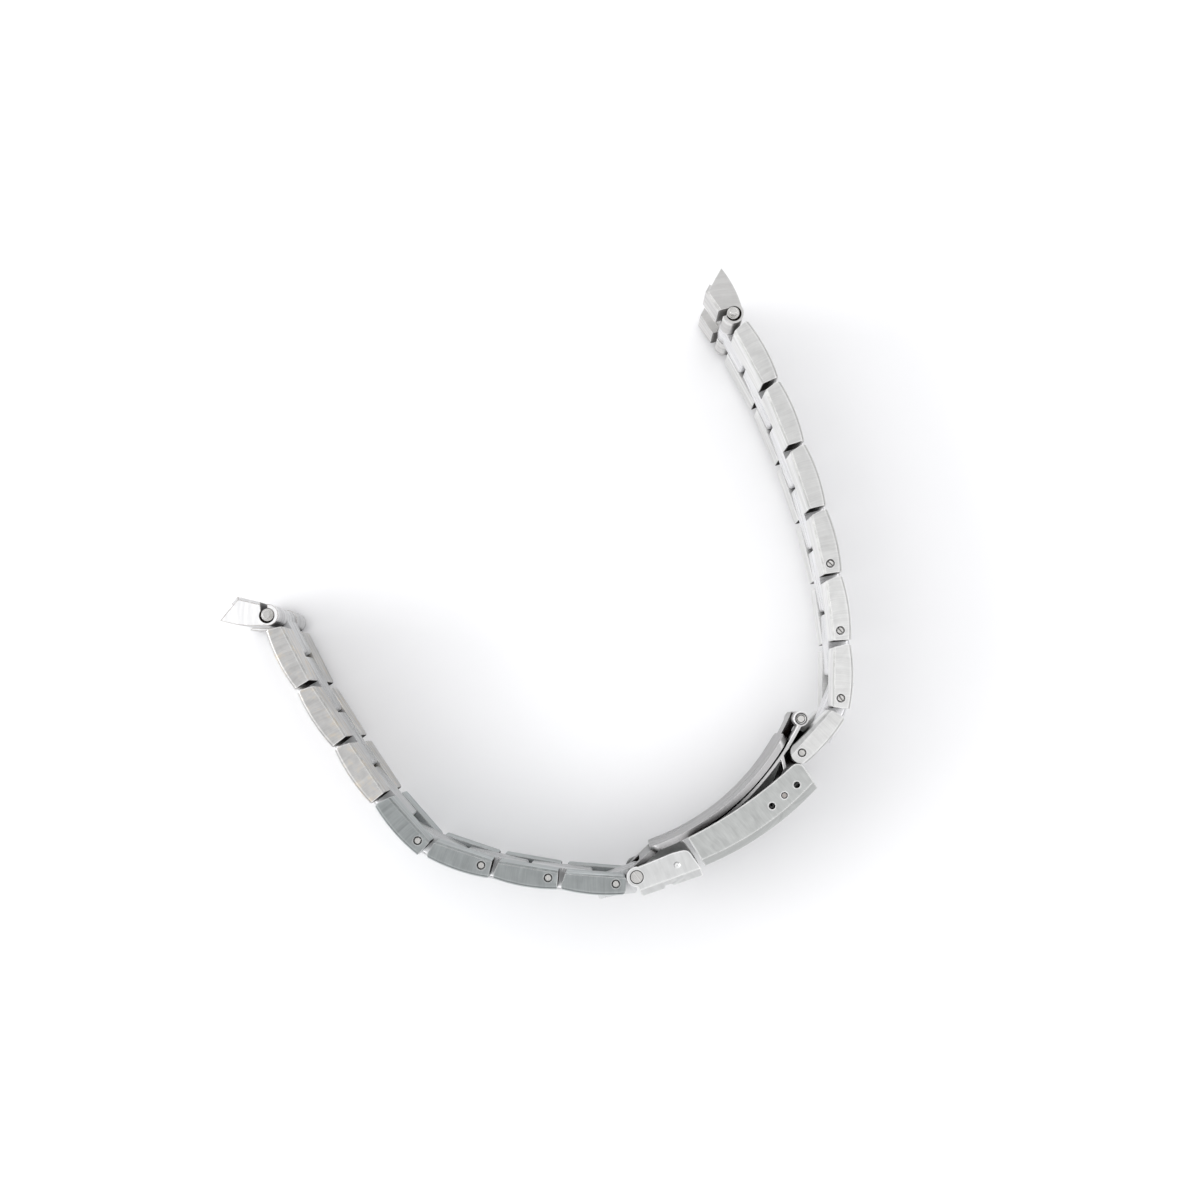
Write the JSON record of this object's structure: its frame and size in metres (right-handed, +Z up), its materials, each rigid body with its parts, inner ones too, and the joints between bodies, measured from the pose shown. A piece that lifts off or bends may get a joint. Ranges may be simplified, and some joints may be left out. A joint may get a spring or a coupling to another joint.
{
  "type": "watch bracelet",
  "caption": "Steel watch bracelet of hinged link rows, with curved end links on spring bars and a folding clasp with bowed blades, adjusting holes and a flip lock.",
  "frame": {"origin": "on the surface that the bracelet stands on, under the middle of its outline", "axes": "+Z up along every joint axis; +Y towards the watch case's upper end, +X towards the clasp side of the twelve strand"},
  "size_m": [0.0774, 0.077, 0.0216],
  "materials": {
    "plate_steel": "brushed satin",
    "centre_steel": "fine satin",
    "end_link_steel": "brushed satin",
    "clasp_steel": "brushed satin",
    "blade_steel": "satin",
    "pin_steel": "turned"
  },
  "bodies": {
    "clasp_cover": {"clasp_cover": "clasp_steel", "cover_pin": "pin_steel", "adjusting_bar": "pin_steel"},
    "short_blade": {"short_blade": "blade_steel", "blade_pin": "pin_steel"},
    "long_blade": {"long_blade": "blade_steel", "lock_rivet": "pin_steel"},
    "flip_lock": {"flip_lock": "clasp_steel"},
    "twelve_connector": {"twelve_connector": "centre_steel"},
    "twelve_outer_7": {"twelve_outer_7": "plate_steel", "twelve_pins_7": "pin_steel"},
    "twelve_centre_7": {"twelve_centre_7": "centre_steel"},
    "twelve_outer_6": {"twelve_outer_6": "plate_steel", "twelve_pins_6": "pin_steel"},
    "twelve_centre_6": {"twelve_centre_6": "centre_steel"},
    "twelve_outer_5": {"twelve_outer_5": "plate_steel", "twelve_pins_5": "pin_steel"},
    "twelve_centre_5": {"twelve_centre_5": "centre_steel"},
    "twelve_outer_4": {"twelve_outer_4": "plate_steel", "twelve_pins_4": "pin_steel"},
    "twelve_centre_4": {"twelve_centre_4": "centre_steel"},
    "twelve_outer_3": {"twelve_outer_3": "plate_steel", "twelve_pins_3": "pin_steel"},
    "twelve_centre_3": {"twelve_centre_3": "centre_steel"},
    "twelve_outer_2": {"twelve_outer_2": "plate_steel", "twelve_pins_2": "pin_steel"},
    "twelve_centre_2": {"twelve_centre_2": "centre_steel"},
    "twelve_outer_1": {"twelve_outer_1": "plate_steel", "twelve_pins_1": "pin_steel"},
    "twelve_centre_1": {"twelve_centre_1": "centre_steel"},
    "twelve_end_link": {"twelve_end_link": "end_link_steel", "twelve_case_bar": "pin_steel"},
    "six_centre_8": {"six_centre_8": "centre_steel"},
    "six_outer_7": {"six_outer_7": "plate_steel", "six_pins_7": "pin_steel"},
    "six_centre_7": {"six_centre_7": "centre_steel"},
    "six_outer_6": {"six_outer_6": "plate_steel", "six_pins_6": "pin_steel"},
    "six_centre_6": {"six_centre_6": "centre_steel"},
    "six_outer_5": {"six_outer_5": "plate_steel", "six_pins_5": "pin_steel"},
    "six_centre_5": {"six_centre_5": "centre_steel"},
    "six_outer_4": {"six_outer_4": "plate_steel", "six_pins_4": "pin_steel"},
    "six_centre_4": {"six_centre_4": "centre_steel"},
    "six_outer_3": {"six_outer_3": "plate_steel", "six_pins_3": "pin_steel"},
    "six_centre_3": {"six_centre_3": "centre_steel"},
    "six_outer_2": {"six_outer_2": "plate_steel", "six_pins_2": "pin_steel"},
    "six_centre_2": {"six_centre_2": "centre_steel"},
    "six_outer_1": {"six_outer_1": "plate_steel", "six_pins_1": "pin_steel"},
    "six_centre_1": {"six_centre_1": "centre_steel"},
    "six_end_link": {"six_end_link": "end_link_steel", "six_case_bar": "pin_steel"}
  },
  "joints": [
    {"name": "short_blade_hinge", "type": "hinge", "parent": "clasp_cover", "child": "short_blade", "pos_m": [0.01973, -0.03152, 0.0108], "axis": [0, 0, 1], "range_deg": [0, 150]},
    {"name": "long_blade_hinge", "type": "hinge", "parent": "short_blade", "child": "long_blade", "pos_m": [0.03173, -0.01646, 0.0108], "axis": [0, 0, 1], "range_deg": [-172.5, 0]},
    {"name": "flip_lock_hinge", "type": "hinge", "parent": "long_blade", "child": "flip_lock", "pos_m": [0.01166, -0.03544, 0.0108], "axis": [0, 0, -1], "range_deg": [0, 50]},
    {"name": "twelve_connector_hinge", "type": "hinge", "parent": "clasp_cover", "child": "twelve_connector", "pos_m": [0.02944, -0.02566, 0.0108], "axis": [0, 0, 1], "range_deg": [-24, 0]},
    {"name": "twelve_outer_7_hinge", "type": "hinge", "parent": "twelve_connector", "child": "twelve_outer_7", "pos_m": [0.03166, -0.02055, 0.0108], "axis": [0, 0, 1], "range_deg": [-20, 0]},
    {"name": "twelve_centre_7_hinge", "type": "hinge", "parent": "twelve_outer_7", "child": "twelve_centre_7", "pos_m": [0.03539, -0.01644, 0.0108], "axis": [0, 0, 1], "range_deg": [-22.5, 4.5]},
    {"name": "twelve_outer_6_hinge", "type": "hinge", "parent": "twelve_centre_7", "child": "twelve_outer_6", "pos_m": [0.03637, -0.01398, 0.0108], "axis": [0, 0, -1], "range_deg": [-4.5, 22.5]},
    {"name": "twelve_centre_6_hinge", "type": "hinge", "parent": "twelve_outer_6", "child": "twelve_centre_6", "pos_m": [0.03649, -0.00843, 0.0108], "axis": [0, 0, 1], "range_deg": [-6.3, 20.7]},
    {"name": "twelve_outer_5_hinge", "type": "hinge", "parent": "twelve_centre_6", "child": "twelve_outer_5", "pos_m": [0.03634, -0.00578, 0.0108], "axis": [0, 0, 1], "range_deg": [-6.3, 20.7]},
    {"name": "twelve_centre_5_hinge", "type": "hinge", "parent": "twelve_outer_5", "child": "twelve_centre_5", "pos_m": [0.03563, -0.00028, 0.0108], "axis": [0, 0, -1], "range_deg": [-22.2, 4.8]},
    {"name": "twelve_outer_4_hinge", "type": "hinge", "parent": "twelve_centre_5", "child": "twelve_outer_4", "pos_m": [0.03516, 0.00233, 0.0108], "axis": [0, 0, 1], "range_deg": [-4.8, 22.2]},
    {"name": "twelve_centre_4_hinge", "type": "hinge", "parent": "twelve_outer_4", "child": "twelve_centre_4", "pos_m": [0.03391, 0.00774, 0.0108], "axis": [0, 0, 1], "range_deg": [-4.7, 22.3]},
    {"name": "twelve_outer_3_hinge", "type": "hinge", "parent": "twelve_centre_4", "child": "twelve_outer_3", "pos_m": [0.03319, 0.01029, 0.0108], "axis": [0, 0, -1], "range_deg": [-22.3, 4.7]},
    {"name": "twelve_centre_3_hinge", "type": "hinge", "parent": "twelve_outer_3", "child": "twelve_centre_3", "pos_m": [0.03144, 0.01555, 0.0108], "axis": [0, 0, 1], "range_deg": [-3.75, 23.25]},
    {"name": "twelve_outer_2_hinge", "type": "hinge", "parent": "twelve_centre_3", "child": "twelve_outer_2", "pos_m": [0.03053, 0.01804, 0.0108], "axis": [0, 0, 1], "range_deg": [-3.75, 23.25]},
    {"name": "twelve_centre_2_hinge", "type": "hinge", "parent": "twelve_outer_2", "child": "twelve_centre_2", "pos_m": [0.02846, 0.02319, 0.0108], "axis": [0, 0, -1], "range_deg": [-21.85, 5.15]},
    {"name": "twelve_outer_1_hinge", "type": "hinge", "parent": "twelve_centre_2", "child": "twelve_outer_1", "pos_m": [0.02734, 0.02559, 0.0108], "axis": [0, 0, 1], "range_deg": [-5.15, 21.85]},
    {"name": "twelve_centre_1_hinge", "type": "hinge", "parent": "twelve_outer_1", "child": "twelve_centre_1", "pos_m": [0.02471, 0.03048, 0.0108], "axis": [0, 0, -1], "range_deg": [-25, 2]},
    {"name": "twelve_end_link_hinge", "type": "hinge", "parent": "twelve_centre_1", "child": "twelve_end_link", "pos_m": [0.02346, 0.03282, 0.0108], "axis": [0, 0, 1], "range_deg": [-58, 39]},
    {"name": "six_centre_8_hinge", "type": "hinge", "parent": "long_blade", "child": "six_centre_8", "pos_m": [0.01166, -0.03544, 0.0108], "axis": [0, 0, -1], "range_deg": [-10, 10]},
    {"name": "six_outer_7_hinge", "type": "hinge", "parent": "six_centre_8", "child": "six_outer_7", "pos_m": [0.00916, -0.03631, 0.0108], "axis": [0, 0, -1], "range_deg": [-25.4, 1.6]},
    {"name": "six_centre_7_hinge", "type": "hinge", "parent": "six_outer_7", "child": "six_centre_7", "pos_m": [0.00362, -0.03588, 0.0108], "axis": [0, 0, -1], "range_deg": [-4.55, 22.45]},
    {"name": "six_outer_6_hinge", "type": "hinge", "parent": "six_centre_7", "child": "six_outer_6", "pos_m": [0.00099, -0.03556, 0.0108], "axis": [0, 0, 1], "range_deg": [-22.45, 4.55]},
    {"name": "six_centre_6_hinge", "type": "hinge", "parent": "six_outer_6", "child": "six_centre_6", "pos_m": [-0.00448, -0.03464, 0.0108], "axis": [0, 0, -1], "range_deg": [-5.5, 21.5]},
    {"name": "six_outer_5_hinge", "type": "hinge", "parent": "six_centre_6", "child": "six_outer_5", "pos_m": [-0.00706, -0.03405, 0.0108], "axis": [0, 0, -1], "range_deg": [-7.5, 19.5]},
    {"name": "six_centre_5_hinge", "type": "hinge", "parent": "six_outer_5", "child": "six_centre_5", "pos_m": [-0.01233, -0.03229, 0.0108], "axis": [0, 0, 1], "range_deg": [-16.3, 10.7]},
    {"name": "six_outer_4_hinge", "type": "hinge", "parent": "six_centre_5", "child": "six_outer_4", "pos_m": [-0.01468, -0.03108, 0.0108], "axis": [0, 0, -1], "range_deg": [-23, 4]},
    {"name": "six_centre_4_hinge", "type": "hinge", "parent": "six_outer_4", "child": "six_centre_4", "pos_m": [-0.01838, -0.02694, 0.0108], "axis": [0, 0, -1], "range_deg": [-3.3, 23.7]},
    {"name": "six_outer_3_hinge", "type": "hinge", "parent": "six_centre_4", "child": "six_outer_3", "pos_m": [-0.02011, -0.02493, 0.0108], "axis": [0, 0, 1], "range_deg": [-18.9, 8.1]},
    {"name": "six_centre_3_hinge", "type": "hinge", "parent": "six_outer_3", "child": "six_centre_3", "pos_m": [-0.02324, -0.02035, 0.0108], "axis": [0, 0, -1], "range_deg": [-2.5, 24.5]},
    {"name": "six_outer_2_hinge", "type": "hinge", "parent": "six_centre_3", "child": "six_outer_2", "pos_m": [-0.02472, -0.01815, 0.0108], "axis": [0, 0, -1], "range_deg": [-2.5, 24.5]},
    {"name": "six_centre_2_hinge", "type": "hinge", "parent": "six_outer_2", "child": "six_centre_2", "pos_m": [-0.02777, -0.01351, 0.0108], "axis": [0, 0, 1], "range_deg": [-21.95, 5.05]},
    {"name": "six_outer_1_hinge", "type": "hinge", "parent": "six_centre_2", "child": "six_outer_1", "pos_m": [-0.02911, -0.01123, 0.0108], "axis": [0, 0, -1], "range_deg": [-5.05, 21.95]},
    {"name": "six_centre_1_hinge", "type": "hinge", "parent": "six_outer_1", "child": "six_centre_1", "pos_m": [-0.03166, -0.0063, 0.0108], "axis": [0, 0, 1], "range_deg": [-25, 2]},
    {"name": "six_end_link_hinge", "type": "hinge", "parent": "six_centre_1", "child": "six_end_link", "pos_m": [-0.03288, -0.00394, 0.0108], "axis": [0, 0, -1], "range_deg": [-2, 95]}
  ],
  "couplings": [
    {"joint": "long_blade_hinge", "follows": "short_blade_hinge", "ratio": -1.15}
  ]
}
